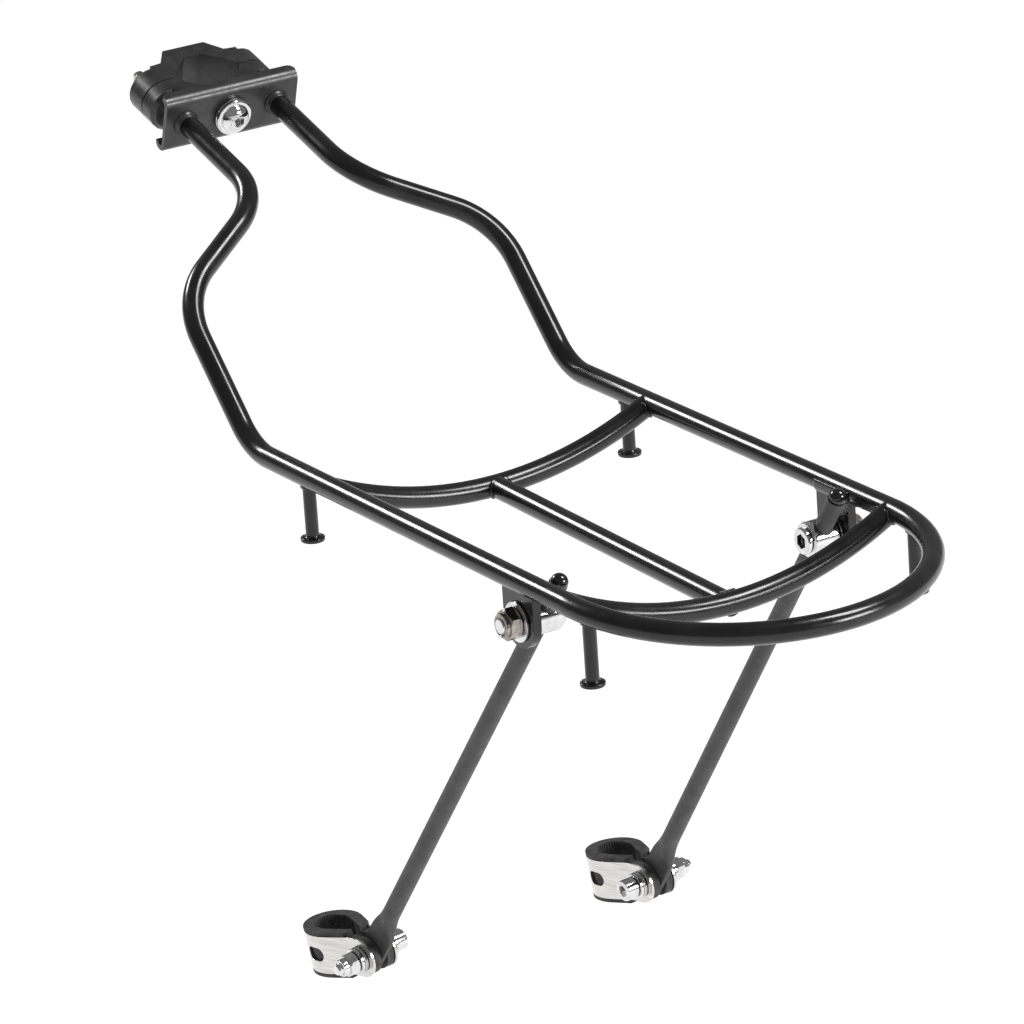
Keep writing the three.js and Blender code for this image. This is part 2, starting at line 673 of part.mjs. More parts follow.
// The bolt's hardware, built along +Z from the head on the inside to the nut on the outside.
function clipHardware(side, outward) {
  const earFace = clip.earOffset + clip.strap / 2;
  const pitch = clipWasher.thickness + fitGap;
  const headSeat = -earFace - 2 * pitch - fitGap;
  const headEnd = headSeat - m6.headHeight;
  const nutSeat = earFace + 2 * pitch + fitGap;
  const threadEnd = nutSeat + m6.nutHeight + clipNut.collarHeight + clipNut.threadBeyond;
  const bolt = cut(
    turned([
      [0, headEnd], [m6.headRadius - 1, headEnd], [m6.headRadius, headEnd + 1], [m6.headRadius, headSeat],
      [m6.radius, headSeat], [m6.radius, threadEnd - 0.6], [m6.radius - 0.6, threadEnd], [0, threadEnd],
    ], 16),
    prism(hexagon(5), headEnd - 1, headEnd + 3),
  );
  const washerAt = (seat) => ring(clipWasher.radius, m6.radius, seat, seat + clipWasher.thickness);
  const place = (name, geometry, material) => (
    piece(`${name}_${side}`, alongAxis(geometry, outward), material));
  return [
    place('clip_bolt', bolt, finishes.chrome),
    place('clip_head_washer', washerAt(-earFace - 2 * pitch), finishes.chrome),
    place('clip_inner_washer', washerAt(-earFace - pitch), finishes.chrome),
    place('clip_ear_washer', washerAt(earFace + fitGap), finishes.chrome),
    place('clip_nut_washer', washerAt(earFace + fitGap + pitch), finishes.chrome),
    place('clip_nut', collaredNut().translate(0, 0, nutSeat), finishes.chrome),
  ];
}

function stayClip(side, direction) {
  const group = new THREE.Group();
  group.add(
    piece(`clip_band_${side}`, clipBand(), finishes.stainless),
    piece(`clip_liner_${side}`, clipLiner(), finishes.rubber),
    ...clipHardware(side, vector(0, direction, 0)),
  );
  return group;
}

function strutWithClip(side, direction) {
  const settings = strutSettings[side];
  const { degToRad } = THREE.MathUtils;
  const lean = degToRad(settings.lean);
  const twist = degToRad(settings.twist);
  const group = new THREE.Group();
  group.position.set(eye.x, direction * eye.offset, eye.z);
  group.rotation.set(direction * degToRad(settings.splay), lean, twist);
  const stay = stayClip(side, direction);
  stay.position.set(0, foot.offset, settings.standUp - settings.length);
  const upright = -Math.atan(Math.tan(lean) * Math.cos(twist));
  stay.rotation.y = upright - clip.pitch;
  group.add(
    piece(`strut_${side}`, strutTube(settings), finishes.strutGrey),
    piece(`strut_plug_${side}`, strutPlug(settings), finishes.glossBlack),
    stay,
  );
  return group;
}

// ---------------------------------------------------------------- the carrier

const carrier = new THREE.Group();
carrier.add(weldedFrame(), seatpostClamp());
for (const [side, direction] of Object.entries(sides)) {
  carrier.add(eyeboltStack(side, direction), strutWithClip(side, direction));
}

export default carrier;
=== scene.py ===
import json
import math

import bpy
from mathutils import Matrix, Vector

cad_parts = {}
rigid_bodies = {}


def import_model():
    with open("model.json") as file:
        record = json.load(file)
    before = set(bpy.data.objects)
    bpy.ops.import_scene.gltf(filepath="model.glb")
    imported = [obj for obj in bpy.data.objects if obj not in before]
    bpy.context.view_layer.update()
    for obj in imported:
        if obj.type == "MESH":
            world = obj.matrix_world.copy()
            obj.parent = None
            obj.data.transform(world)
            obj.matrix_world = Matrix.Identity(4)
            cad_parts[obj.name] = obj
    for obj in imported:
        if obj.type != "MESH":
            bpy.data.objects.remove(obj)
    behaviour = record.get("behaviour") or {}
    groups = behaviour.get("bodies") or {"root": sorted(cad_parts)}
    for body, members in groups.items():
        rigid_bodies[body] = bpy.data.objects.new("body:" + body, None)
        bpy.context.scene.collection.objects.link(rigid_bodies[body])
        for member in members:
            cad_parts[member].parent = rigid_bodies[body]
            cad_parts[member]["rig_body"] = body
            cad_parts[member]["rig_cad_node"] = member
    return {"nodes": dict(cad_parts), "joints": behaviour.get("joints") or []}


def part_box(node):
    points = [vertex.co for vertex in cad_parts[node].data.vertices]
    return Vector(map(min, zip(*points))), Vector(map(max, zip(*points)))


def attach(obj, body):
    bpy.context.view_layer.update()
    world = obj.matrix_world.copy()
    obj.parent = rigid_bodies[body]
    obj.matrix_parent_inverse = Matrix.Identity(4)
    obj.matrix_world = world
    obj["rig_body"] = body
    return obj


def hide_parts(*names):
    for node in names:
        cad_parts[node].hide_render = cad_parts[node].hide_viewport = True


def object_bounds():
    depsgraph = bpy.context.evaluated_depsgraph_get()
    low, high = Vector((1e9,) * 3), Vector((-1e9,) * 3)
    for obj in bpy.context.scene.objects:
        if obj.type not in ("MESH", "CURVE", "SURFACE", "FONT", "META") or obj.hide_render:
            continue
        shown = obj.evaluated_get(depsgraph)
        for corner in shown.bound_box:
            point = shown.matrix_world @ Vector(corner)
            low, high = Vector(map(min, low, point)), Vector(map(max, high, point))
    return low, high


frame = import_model()
cadBox = [list(corner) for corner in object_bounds()]
print("frame loaded:", len(frame["nodes"]), "nodes")

mm = 0.001
sides = {"left": -1, "right": 1}
joints = {joint["name"]: joint for joint in frame["joints"]}


def at(x, y, z):
    return Vector((x, y, z)) * mm


def deselect():
    if bpy.context.mode != "OBJECT":
        bpy.ops.object.mode_set(mode="OBJECT")
    bpy.ops.object.select_all(action="DESELECT")


def pick(piece):
    deselect()
    piece.select_set(True)
    bpy.context.view_layer.objects.active = piece


def edit(piece):
    pick(piece)
    bpy.ops.object.mode_set(mode="EDIT")
    bpy.ops.mesh.select_mode(type="VERT")
    bpy.ops.mesh.select_all(action="SELECT")


def leaveEdit():
    bpy.ops.object.mode_set(mode="OBJECT")
    return bpy.context.object


def settle(piece):
    pick(piece)
    bpy.ops.object.transform_apply(location=True, rotation=True, scale=True)
    return piece


# Distances that count as one point, and the angle under which faces count as flat.
meshLimits = {"merge": 0.005, "cadMerge": 0.001, "flatAngle": 0.5}


# Merges doubled points, fills open rings and turns the faces outward.
def closeMesh(piece):
    edit(piece)
    bpy.ops.mesh.remove_doubles(threshold=meshLimits["merge"] * mm)
    bpy.ops.mesh.fill_holes(sides=0)
    bpy.ops.mesh.normals_make_consistent(inside=False)
    return leaveEdit()


def modify(piece, kind, **values):
    pick(piece)
    bpy.ops.object.modifier_add(type=kind)
    modifier = piece.modifiers[-1]
    for name, value in values.items():
        setattr(modifier, name, value)
    bpy.ops.object.modifier_apply(modifier=modifier.name)
    return piece


def combine(piece, other, operation):
    modify(piece, "BOOLEAN", operation=operation, object=other, solver="EXACT")
    bpy.data.objects.remove(other)
    return piece


def softenEdges(piece, width, segments=3, angle=32):
    return modify(
        piece, "BEVEL", width=width * mm, segments=segments, limit_method="ANGLE",
        angle_limit=math.radians(angle), use_clamp_overlap=True, harden_normals=False,
    )


def smooth(piece, angle=32):
    pick(piece)
    bpy.ops.object.shade_smooth_by_angle(angle=math.radians(angle))
    return modify(piece, "WEIGHTED_NORMAL", keep_sharp=True)


def turnTo(axis):
    return Vector(axis).to_track_quat("Z", "Y").to_euler()


# A rod between two distances along an axis from a place.
def rod(place, axis, radius, start, end, facets=48):
    direction = Vector(axis).normalized()
    deselect()
    bpy.ops.mesh.primitive_cylinder_add(
        vertices=facets, radius=radius * mm, depth=(end - start) * mm,
        location=place + direction * (start + end) / 2 * mm, rotation=turnTo(axis),
    )
    return settle(bpy.context.object)


# Spins a profile of (radius, distance along) points about Z, then turns it to its axis.
def turned(profile, place, axis, steps=48):
    deselect()
    bpy.ops.mesh.primitive_plane_add(size=mm)
    edit(bpy.context.object)
    bpy.ops.mesh.merge(type="CENTER")
    radius, along = profile[0]
    bpy.ops.transform.translate(value=(radius * mm, 0, along * mm))
    for nextRadius, nextAlong in profile[1:]:
        step = ((nextRadius - radius) * mm, 0, (nextAlong - along) * mm)
        bpy.ops.mesh.extrude_region_move(TRANSFORM_OT_translate={"value": step})
        radius, along = nextRadius, nextAlong
    bpy.ops.mesh.select_all(action="SELECT")
    bpy.ops.mesh.spin(steps=steps, angle=2 * math.pi, center=(0, 0, 0), axis=(0, 0, 1))
    piece = leaveEdit()
    closeMesh(piece)
    piece.rotation_euler = turnTo(axis)
    piece.location = place
    return settle(piece)


# Depth of a thread, and where its root and crest lie, as shares of its pitch.
threadShape = {"depth": 0.6, "root": 0.12, "crest": 0.5, "crestEnd": 0.62}


# Ridges of a screw thread, as part of a turned profile.
def threadRidges(radius, start, end, pitch):
    shape = threadShape
    count = int((end - start) / pitch)
    root = radius - shape["depth"] * pitch
    ridges = []
    for index in range(count):
        low = start + index * pitch
        ridges += [
            (root, low + shape["root"] * pitch), (radius, low + shape["crest"] * pitch),
            (radius, low + shape["crestEnd"] * pitch),
        ]
    return ridges + [(root, start + count * pitch)]


# The curve of a dome, as part of a turned profile.
def domeCurve(radius, height, base, stop, step):
    angles = [math.radians(angle) for angle in range(0, stop, step)]
    return [(radius * math.cos(angle), base + height * math.sin(angle)) for angle in angles]


def hexRod(width, place, axis, start, end):
    return rod(place, axis, width / 2 / math.cos(math.pi / 6), start, end, facets=6)


washerEdge = 0.18


def washer(radius, hole, thickness, place, axis, start):
    end = start + thickness
    edge = washerEdge
    return turned([
        (hole, start), (radius - edge, start), (radius, start + edge), (radius, end - edge),
        (radius - edge, end), (hole, end), (hole, start),
    ], place, axis)


nutShape = {
    "cornerReach": 1.16, "chamfer": 1, "flatInset": 0.1, "edge": 0.16, "collarEdge": 0.25,
    "collarShoulder": 0.8, "collarTop": 0.9, "clearance": 1,
}


# A hexagonal nut with chamfered corners and, where it has one, a round collar.
def hexNut(width, height, hole, place, axis, start, collarRadius=0, collarHeight=0):
    shape = nutShape
    end = start + height
    corner = width / 2 * shape["cornerReach"]
    flat = width / 2 - shape["flatInset"]
    nut = hexRod(width, place, axis, start, end)
    chamfers = turned([
        (0, start), (flat, start), (corner, start + shape["chamfer"]),
        (corner, end - shape["chamfer"]), (flat, end), (0, end),
    ], place, axis)
    combine(nut, chamfers, "INTERSECT")
    if collarHeight:
        top, base = end + collarHeight, end - shape["clearance"]
        edge = shape["collarEdge"]
        collar = turned([
            (0, base), (collarRadius, base), (collarRadius, top - shape["collarShoulder"]),
            (collarRadius - edge, top - edge), (collarRadius - shape["collarTop"], top), (0, top),
        ], place, axis)
        combine(nut, collar, "UNION")
    clearance = shape["clearance"]
    bore = rod(place, axis, hole, start - clearance, end + collarHeight + clearance)
    combine(nut, bore, "DIFFERENCE")
    return softenEdges(nut, shape["edge"], segments=2)


# Cuts the key socket into a screw's head.
def cutSocket(piece, place, axis, width, start, end):
    return combine(piece, hexRod(width, place, axis, start, end), "DIFFERENCE")


# A refined copy of a CAD solid: merged, its flat faces made whole, and its edges softened.
def refined(solid, edge, segments=3, angle=32, shape=None):
    pick(frame["nodes"][solid])
    bpy.ops.object.duplicate()
    piece = bpy.context.object
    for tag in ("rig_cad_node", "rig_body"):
        del piece[tag]
    piece.parent = None
    edit(piece)
    bpy.ops.mesh.remove_doubles(threshold=meshLimits["cadMerge"] * mm)
    bpy.ops.mesh.dissolve_limited(angle_limit=math.radians(meshLimits["flatAngle"]))
    leaveEdit()
    if shape:
        shape(piece)
    return softenEdges(piece, edge, segments, angle)


def newFinish(name, colour, roughness, metallic=0.0, coat=0.0, coatRoughness=0.05, specular=0.5):
    finish = bpy.data.materials.new(name)
    finish.use_nodes = True
    shader = finish.node_tree.nodes["Principled BSDF"]
    shader.inputs["Base Color"].default_value = (*colour, 1)
    shader.inputs["Roughness"].default_value = roughness
    shader.inputs["Metallic"].default_value = metallic
    shader.inputs["Coat Weight"].default_value = coat
    shader.inputs["Coat Roughness"].default_value = coatRoughness
    shader.inputs["Specular IOR Level"].default_value = specular
    return finish


def node(finish, kind, **values):
    made = finish.node_tree.nodes.new(kind)
    for name, value in values.items():
        if hasattr(made, name):
            setattr(made, name, value)
        else:
            made.inputs[name.replace("_", " ")].default_value = value
    return made


def link(finish, output, socket):
    finish.node_tree.links.new(output, socket)


# Noise in Object coordinates, stretched where the grain runs one way.
def grain(finish, scale, detail=4, stretch=(1, 1, 1), rough=0.55):
    place = node(finish, "ShaderNodeTexCoord")
    mapping = node(finish, "ShaderNodeMapping")
    mapping.inputs["Scale"].default_value = stretch
    noise = node(finish, "ShaderNodeTexNoise", Scale=scale, Detail=detail, Roughness=rough)
    link(finish, place.outputs["Object"], mapping.inputs["Vector"])
    link(finish, mapping.outputs["Vector"], noise.inputs["Vector"])
    return noise.outputs["Fac"]


# The part of the noise that the roughness and the colour follow.
noiseRange = {"roughness": (0.3, 0.7), "colour": (0.35, 0.65)}


def spread(finish, source, low, high):
    ramp = node(finish, "ShaderNodeMapRange")
    fromLow, fromHigh = noiseRange["roughness"]
    ramp.inputs["From Min"].default_value = fromLow
    ramp.inputs["From Max"].default_value = fromHigh
    ramp.inputs["To Min"].default_value = low
    ramp.inputs["To Max"].default_value = high
    link(finish, source, ramp.inputs["Value"])
    return ramp.outputs["Result"]


def mixColours(finish, source, first, second):
    ramp = node(finish, "ShaderNodeValToRGB")
    low, high = noiseRange["colour"]
    ramp.color_ramp.elements[0].position = low
    ramp.color_ramp.elements[0].color = (*first, 1)
    ramp.color_ramp.elements[1].position = high
    ramp.color_ramp.elements[1].color = (*second, 1)
    link(finish, source, ramp.inputs["Fac"])
    shader = finish.node_tree.nodes["Principled BSDF"]
    link(finish, ramp.outputs["Color"], shader.inputs["Base Color"])


def varyRoughness(finish, source, low, high):
    shader = finish.node_tree.nodes["Principled BSDF"]
    link(finish, spread(finish, source, low, high), shader.inputs["Roughness"])


# Bumps are stacked: each layer's normal feeds the next one.
def raiseSurface(finish, *layers):
    shader = finish.node_tree.nodes["Principled BSDF"]
    before = None
    for source, depth, strength in layers:
        bump = node(finish, "ShaderNodeBump", Distance=depth * mm, Strength=strength)
        link(finish, source, bump.inputs["Height"])
        if before:
            link(finish, before, bump.inputs["Normal"])
        before = bump.outputs["Normal"]
    link(finish, before, shader.inputs["Normal"])


def glossEnamel():
    finish = newFinish(
        "glossEnamel", (0.006, 0.006, 0.007), 0.22, coat=0.25, coatRoughness=0.1, specular=0.35,
    )
    mixColours(finish, grain(finish, 60), (0.004, 0.004, 0.005), (0.011, 0.011, 0.012))
    varyRoughness(finish, grain(finish, 180), 0.18, 0.3)
    raiseSurface(
        finish,
        (grain(finish, 420, detail=2), 0.05, 0.12),
        (grain(finish, 2600, detail=3), 0.01, 0.08),
    )
    return finish


def satinEnamel():
    finish = newFinish("satinEnamel", (0.016, 0.016, 0.017), 0.34, coat=0.15, coatRoughness=0.25)
    mixColours(finish, grain(finish, 90), (0.012, 0.012, 0.013), (0.026, 0.026, 0.027))
    varyRoughness(finish, grain(finish, 240), 0.28, 0.44)
    raiseSurface(finish, (grain(finish, 900, detail=5), 0.03, 0.4))
    return finish


def castEnamel():
    finish = newFinish("castEnamel", (0.02, 0.02, 0.021), 0.42, coat=0.1, coatRoughness=0.3)
    mixColours(finish, grain(finish, 140, detail=6), (0.013, 0.013, 0.014), (0.032, 0.032, 0.033))
    varyRoughness(finish, grain(finish, 500), 0.26, 0.44)
    raiseSurface(
        finish,
        (grain(finish, 260, detail=3), 0.12, 0.35),
        (grain(finish, 1700, detail=5), 0.05, 0.5),
    )
    return finish


def strutCoating():
    finish = newFinish("strutCoating", (0.06, 0.06, 0.06), 0.5)
    mixColours(finish, grain(finish, 110, detail=6), (0.03, 0.03, 0.031), (0.052, 0.052, 0.051))
    varyRoughness(finish, grain(finish, 600), 0.42, 0.6)
    raiseSurface(finish, (grain(finish, 1500, detail=5), 0.03, 0.45))
    return finish


def chromePlate():
    finish = newFinish("chromePlate", (0.7, 0.7, 0.71), 0.07, metallic=1.0)
    mixColours(finish, grain(finish, 160), (0.6, 0.6, 0.61), (0.76, 0.76, 0.76))
    varyRoughness(finish, grain(finish, 700, detail=6), 0.04, 0.14)
    raiseSurface(finish, (grain(finish, 500, detail=3), 0.02, 0.25))
    return finish


def nutPlate():
    finish = newFinish("nutPlate", (0.32, 0.29, 0.27), 0.2, metallic=1.0)
    mixColours(finish, grain(finish, 300, detail=5), (0.24, 0.21, 0.19), (0.45, 0.42, 0.39))
    varyRoughness(finish, grain(finish, 900, detail=6), 0.14, 0.3)
    raiseSurface(finish, (grain(finish, 1400, detail=4), 0.02, 0.4))
    return finish


def stainlessStrap():
    finish = newFinish("stainlessStrap", (0.66, 0.65, 0.63), 0.2, metallic=1.0)
    rolled = grain(finish, 60, detail=6, stretch=(1, 1, 28), rough=0.7)
    mixColours(finish, rolled, (0.5, 0.49, 0.475), (0.76, 0.75, 0.73))
    varyRoughness(finish, rolled, 0.14, 0.3)
    raiseSurface(
        finish,
        (grain(finish, 70, detail=6, stretch=(1, 1, 30), rough=0.7), 0.02, 0.35),
        (grain(finish, 220, detail=2), 0.04, 0.2),
    )
    return finish


def linerRubber():
    finish = newFinish("linerRubber", (0.02, 0.02, 0.02), 0.7, specular=0.4)
    mixColours(finish, grain(finish, 260, detail=6), (0.026, 0.026, 0.026), (0.068, 0.066, 0.066))
    varyRoughness(finish, grain(finish, 500), 0.55, 0.85)
    raiseSurface(finish, (grain(finish, 2200, detail=5), 0.04, 0.6))
    return finish


def plugPlastic():
    finish = newFinish("plugPlastic", (0.006, 0.006, 0.006), 0.14, coat=0.3, coatRoughness=0.05)
    varyRoughness(finish, grain(finish, 300), 0.1, 0.22)
    raiseSurface(finish, (grain(finish, 900, detail=2), 0.01, 0.3))
    return finish


finishes = {
    "frame_enamel": glossEnamel(),
    "bracket_enamel": satinEnamel(),
    "clamp_casting": castEnamel(),
    "strut_coating": strutCoating(),
    "chrome": chromePlate(),
    "clip_strap": stainlessStrap(),
    "clip_rubber": linerRubber(),
    "plug_plastic": plugPlastic(),
}
darkNut = nutPlate()
print("finishes made:", len(finishes) + 1)


# Names a piece, gives it its finish and fixes it to its body.
def fix(piece, name, body, slot, *nodes, finish=None):
    piece.name = name
    piece.data.name = name
    piece.data.materials.clear()
    piece.data.materials.append(finish or finishes[slot])
    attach(piece, body)
    if nodes:
        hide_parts(*nodes)


# Turns a list of (corner, bend radius) into the moves of a bent tube.
def movesAlong(corners):
    moves = [("go", corners[0][0])]
    for index in range(1, len(corners) - 1):
        corner, bend = corners[index]
        back = (corners[index - 1][0] - corner).normalized()
        onward = (corners[index + 1][0] - corner).normalized()
        halfAngle = back.angle(onward) / 2
        reach = bend * mm / math.tan(halfAngle)
        centre = corner + (back + onward).normalized() * bend * mm / math.sin(halfAngle)
        moves.append(("go", corner + back * reach))
        moves.append(("turn", centre, back.cross(onward), math.pi - 2 * halfAngle))
        moves.append(("at", corner + onward * reach))
    moves.append(("go", corners[-1][0]))
    return moves


tubeMesh = {"facets": 40, "bendStep": 4, "fewestSteps": 4, "arcSteps": 32, "smoothAngle": 40}


# Draws the ring that a tube starts from and leaves it in edit mode.
def startRing(place, ahead, radius):
    deselect()
    bpy.ops.mesh.primitive_circle_add(
        vertices=tubeMesh["facets"], radius=radius * mm, fill_type="NOTHING", location=place,
        rotation=turnTo(ahead),
    )
    edit(settle(bpy.context.object))


# Pulls a ring along straight moves and spins it round the bends.
def bentTube(moves, radius):
    start = moves[0][1]
    startRing(start, moves[1][1] - start, radius)
    here = start
    for move in moves[1:]:
        if move[0] == "go":
            step = move[1] - here
            bpy.ops.mesh.extrude_region_move(TRANSFORM_OT_translate={"value": step})
            here = move[1]
        elif move[0] == "turn":
            _, centre, axis, angle = move
            steps = round(math.degrees(angle) / tubeMesh["bendStep"])
            steps = max(tubeMesh["fewestSteps"], steps)
            bpy.ops.mesh.spin(steps=steps, angle=angle, center=centre, axis=axis)
        else:
            here = move[1]
    return smooth(closeMesh(leaveEdit()), tubeMesh["smoothAngle"])


tubeSizes = {
    "radius": 5, "railOffset": 83.7, "railStart": 171.3, "railEnd": 431.4, "railHeight": -114.4,
    "tailDrop": 2.4, "legOffset": 24.2, "legStart": 24.3, "legReach": 92.3,
    "shoulder": (115.6, -56.8), "legBend": 36, "shoulderBend": 40, "kneeBend": 32,
}
seatpostLean = math.radians(17.43)
leanAxis = Vector((math.cos(seatpostLean), 0, -math.sin(seatpostLean)))


def mainTube():
    size = tubeSizes
    tailDrop = math.radians(size["tailDrop"])

    def side(direction):
        offset = direction * size["railOffset"]
        legAside = Vector((0, direction * size["legOffset"] * mm, 0))
        shoulderX, shoulderZ = size["shoulder"]
        return [
            (leanAxis * size["legStart"] * mm + legAside, 0),
            (leanAxis * size["legReach"] * mm + legAside, size["legBend"]),
            (at(shoulderX, offset, shoulderZ), size["shoulderBend"]),
            (at(size["railStart"], offset, size["railHeight"]), size["kneeBend"]),
            (at(size["railEnd"], offset, size["railHeight"]), 0),
        ]

    loopCentre = at(size["railEnd"], 0, size["railHeight"])
    loopAxis = Vector((math.sin(tailDrop), 0, math.cos(tailDrop)))
    rightEnd = at(size["railEnd"], size["railOffset"], size["railHeight"])
    loop = [("turn", loopCentre, -loopAxis, math.pi), ("at", rightEnd)]
    moves = movesAlong(side(-1)) + loop + movesAlong(side(1)[::-1])[1:]
    tube = bentTube(moves, size["radius"])
    fix(tube, "mainTube", "carrier", "frame_enamel", "main_tube")


crossTubes = {
    "front": {"x": 238.4, "sag": 19.3},
    "rear": {"x": 427.6, "sag": 21.3},
}


# The radius of a cross tube's arc and the angle that it sweeps.
def crossArc(row):
    offset, sag = tubeSizes["railOffset"], crossTubes[row]["sag"]
    radius = (offset ** 2 + sag ** 2) / (2 * sag)
    return radius, 2 * math.asin(offset / radius)


def crossTube(row):
    x, sag = crossTubes[row]["x"], crossTubes[row]["sag"]
    height = tubeSizes["railHeight"]
    radius, sweep = crossArc(row)
    start = at(x, -tubeSizes["railOffset"], height)
    centre = at(x, 0, height - sag + radius)
    toCentre = (centre - start).normalized()
    startRing(start, Vector((0, toCentre.z, -toCentre.y)), tubeSizes["radius"])
    bpy.ops.mesh.spin(
        steps=tubeMesh["arcSteps"], angle=sweep, center=centre, axis=(-1, 0, 0),
    )
    piece = smooth(closeMesh(leaveEdit()), tubeMesh["smoothAngle"])
    fix(piece, row + "CrossTube", "carrier", "frame_enamel", row + "_cross_tube")


mainTube()
for row in crossTubes:
    crossTube(row)
print("tubes bent")

weldSizes = {
    "swell": 1.1, "start": 3.8, "reach": 14, "voxel": 0.4, "melting": 0.5, "meltings": 5,
    "smoothAngle": 60, "pegStart": 2.8, "pegEnd": 12, "pegSwell": 0.8, "pegReach": 9,
    "tabDrop": 4, "tabHeight": 12, "tabReach": 16,
}
legFillet = [
    (0, -0.5), (6.5, -0.5), (6.4, 0.2), (5.9, 0.8), (5.5, 1.5), (5.1, 2.6), (0, 2.6),
]


# A bead of weld: one shape, or what two swollen shapes share, melted smooth.
def weld(name, first, second=None, slot="frame_enamel"):
    size = weldSizes
    if second:
        combine(first, second, "INTERSECT")
    modify(first, "REMESH", mode="VOXEL", voxel_size=size["voxel"] * mm)
    modify(first, "SMOOTH", factor=size["melting"], iterations=size["meltings"])
    fix(smooth(first, size["smoothAngle"]), name, "carrier", slot)


def frameWelds():
    radius = tubeSizes["radius"] + weldSizes["swell"]
    start, reach = weldSizes["start"], weldSizes["reach"]
    height = tubeSizes["railHeight"]
    for side, direction in sides.items():
        offset = direction * tubeSizes["railOffset"]
        for row, cross in crossTubes.items():
            slope = crossArc(row)[1] / 2
            corner = at(cross["x"], offset, height)
            inward = (0, -direction * math.cos(slope), -math.sin(slope))
            first = rod(corner, inward, radius, start, reach)
            second = rod(corner, (1, 0, 0), radius, -reach, reach)
            weld(row + side.title() + "RailWeld", first, second)
        foot = leanAxis * tubeSizes["legStart"] * mm
        foot = foot + Vector((0, direction * tubeSizes["legOffset"] * mm, 0))
        weld(side + "LegWeld", turned(legFillet, foot, leanAxis), slot="bracket_enamel")
    for row, cross in crossTubes.items():
        middle = at(cross["x"], 0, height - cross["sag"])
        along = (1, 0, 0) if row == "front" else (-1, 0, 0)
        first = rod(middle, along, radius, start, reach)
        weld(row + "BarWeld", first, rod(middle, (0, 1, 0), radius, -reach, reach))


def centreBar():
    low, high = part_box("centre_bar")
    start = Vector((low.x, 0, high.z - tubeSizes["radius"] * mm))
    end = Vector((high.x, 0, low.z + tubeSizes["radius"] * mm))
    piece = bentTube([("at", start), ("go", end)], tubeSizes["radius"])
    fix(piece, "centreBar", "carrier", "frame_enamel", "centre_bar")


pegSizes = {"shank": 3, "head": 5.5, "headThickness": 2}


def peg(row, side):
    low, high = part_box(f"peg_{row}_{side}")
    middle = (low + high) / 2
    top = Vector((middle.x, middle.y, tubeSizes["railHeight"] * mm))
    length = (top.z - low.z) / mm
    shank, head = pegSizes["shank"], pegSizes["head"]
    under = length - pegSizes["headThickness"]
    piece = turned([
        (0, 0), (shank, 0), (shank, under - 1.1), (shank + 0.25, under - 0.5),
        (shank + 0.9, under - 0.1), (head - 0.5, under), (head - 0.12, under + 0.15),
        (head, under + 0.5), (head, length - 0.6), (head - 0.15, length - 0.2),
        (head - 0.6, length), (0, length),
    ], top, (0, 0, -1))
    name = row + side.title() + "Peg"
    fix(smooth(piece, 50), name, "carrier", "frame_enamel", f"peg_{row}_{side}")
    size = weldSizes
    swollenShank = shank + size["pegSwell"] * size["swell"]
    first = rod(top, (0, 0, -1), swollenShank, size["pegStart"], size["pegEnd"])
    swollenRail = tubeSizes["radius"] + size["swell"]
    second = rod(top, (1, 0, 0), swollenRail, -size["pegReach"], size["pegReach"])
    weld(name + "Weld", first, second)


def strutTab(side):
    piece = refined(f"strut_tab_{side}", 0.5)
    fix(smooth(piece), side + "StrutTab", "carrier", "frame_enamel", f"strut_tab_{side}")
    low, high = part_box(f"strut_tab_{side}")
    middle = (low + high) / 2
    rail = Vector((middle.x, middle.y, tubeSizes["railHeight"] * mm))
    size = weldSizes
    deselect()
    bpy.ops.mesh.primitive_cube_add(size=1, location=rail - at(0, 0, size["tabDrop"]))
    block = bpy.context.object
    swell = 2 * size["swell"] * mm
    block.scale = (
        high.x - low.x + swell / 2, high.y - low.y + swell, size["tabHeight"] * mm,
    )
    settle(block)
    axis = Vector((rail.x, math.copysign(tubeSizes["railOffset"], middle.y) * mm, rail.z))
    swollenRail = tubeSizes["radius"] + size["swell"]
    second = rod(axis, (1, 0, 0), swollenRail, -size["tabReach"], size["tabReach"])
    weld(side + "TabWeld", block, second)


clampSizes = {
    "boltOffset": 23, "boltHeight": -1.7, "headSeat": 10.3, "nutSeat": 13.8, "threadEnd": -24,
    "plateFace": 24, "bracketBoltHeight": -1, "threadLength": 5.2,
}
m6 = {
    "radius": 3, "width": 10, "height": 5, "head": 5, "headHeight": 6, "pitch": 1,
    "nutHole": 3.05, "washerHole": 3.3, "tip": 2.2, "key": 5,
}
m8 = {
    "radius": 4, "width": 13, "height": 7.4, "pitch": 1.25, "nutHole": 4.05, "washerHole": 4.3,
    "washerRadius": 9, "tip": 3.1,
}
# The room left between two pieces that sit on one another.
gap = 0.3
upAxis = Vector((math.sin(seatpostLean), 0, math.cos(seatpostLean)))


# Points on the clamp: along the lean, across and up the seatpost.
def onClamp(along, across, up):
    return (leanAxis * along + upAxis * up) * mm + Vector((0, across * mm, 0))


plateCorners = {
    "radius": 4, "segments": 6, "fromMiddle": 34.9, "aboveMiddle": 8, "sheet": 2.5,
    "sheetTolerance": 0.1,
}


